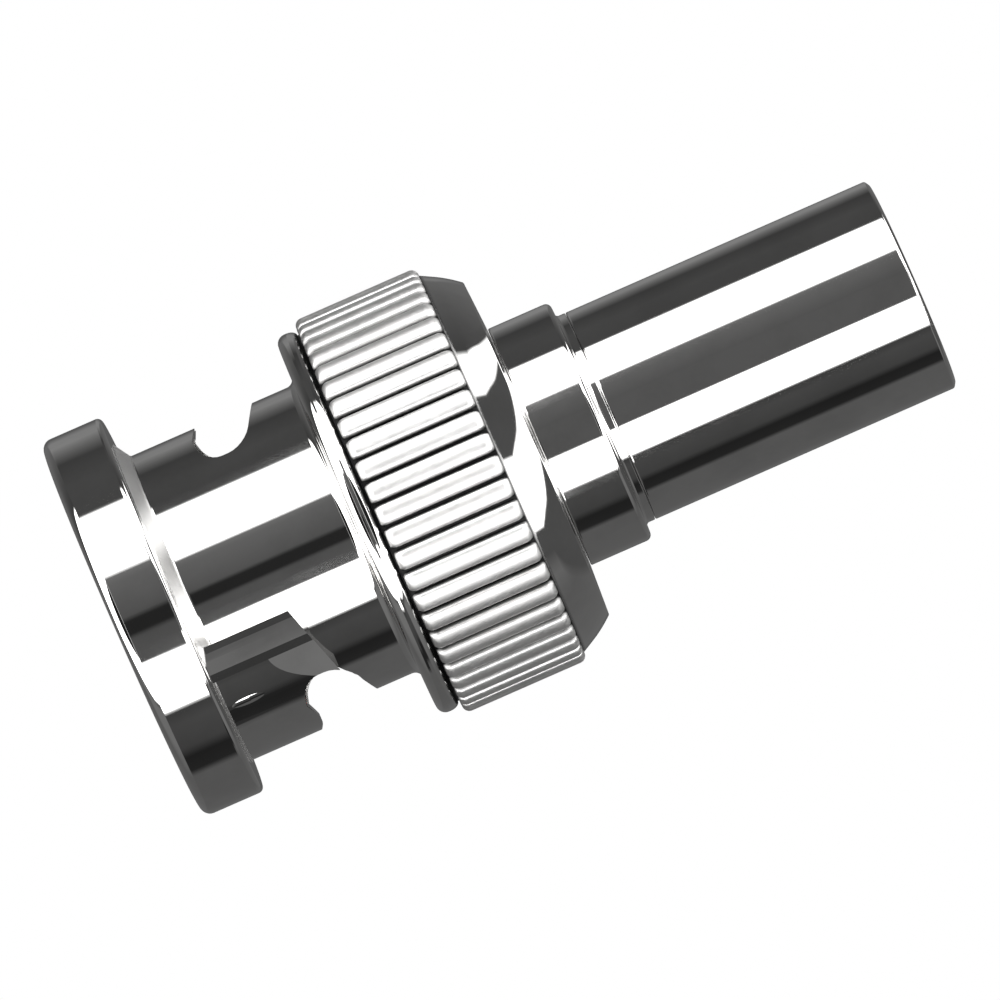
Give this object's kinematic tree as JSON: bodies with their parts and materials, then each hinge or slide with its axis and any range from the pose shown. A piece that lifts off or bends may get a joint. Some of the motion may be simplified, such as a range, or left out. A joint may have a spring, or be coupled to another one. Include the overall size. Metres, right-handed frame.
{
  "type": "coaxial bayonet terminator",
  "caption": "Coaxial line terminator: a bayonet plug with a knurled quarter-turn coupling nut, a closed plain barrel and a resistor inside.",
  "frame": {"origin": "centre of the coupling nut's front face, which it stands on", "axes": "+Z along the axis from the mating face to the closed end of the barrel; -Y is the side the picture shows"},
  "size_m": [0.0146, 0.0146, 0.0296],
  "materials": {
    "nut_plating": "bright nickel plate, polished",
    "body_plating": "bright nickel plate, turned and polished",
    "contact_plating": "silver-coloured plate on spring bronze",
    "gold_plating": "gold plate",
    "white_insulator": "turned, waxy",
    "gasket_rubber": "moulded silicone",
    "spring_steel": "stamped, bright",
    "tinned_metal": "tinned",
    "resistor_ceramic": "fired ceramic",
    "resistor_lacquer": "lacquer",
    "tube_plastic": "extruded"
  },
  "bodies": {
    "plug": {"connector_body": "body_plating", "barrel": "body_plating", "outer_contact": "contact_plating", "gasket": "gasket_rubber", "retaining_clip": "spring_steel", "front_washer": "spring_steel", "wave_washer": "spring_steel", "contact_pin": "gold_plating", "front_insulator": "white_insulator", "rear_insulator": "white_insulator", "insulating_tube": "tube_plastic", "earth_disc": "tinned_metal", "front_solder": "tinned_metal", "rear_solder": "tinned_metal", "resistor_core": "resistor_ceramic", "resistor_front_cap": "tinned_metal", "resistor_rear_cap": "tinned_metal", "resistor_coating": "resistor_lacquer", "resistor_front_lead": "tinned_metal", "resistor_rear_lead": "tinned_metal"},
    "washer": {"thrust_washer": "spring_steel"},
    "nut": {"coupling_nut": "nut_plating"}
  },
  "joints": [
    {"name": "nut_pull", "type": "slide", "parent": "plug", "child": "washer", "axis": [0, 0, -1], "range_m": [0, 0.0004], "stiffness_N_per_m": 10000, "springref_m": -0.0003, "deforming": ["wave_washer"]},
    {"name": "nut_turn", "type": "hinge", "parent": "washer", "child": "nut", "pos_m": [0, 0, 0], "axis": [0, 0, 1], "continuous": true}
  ]
}
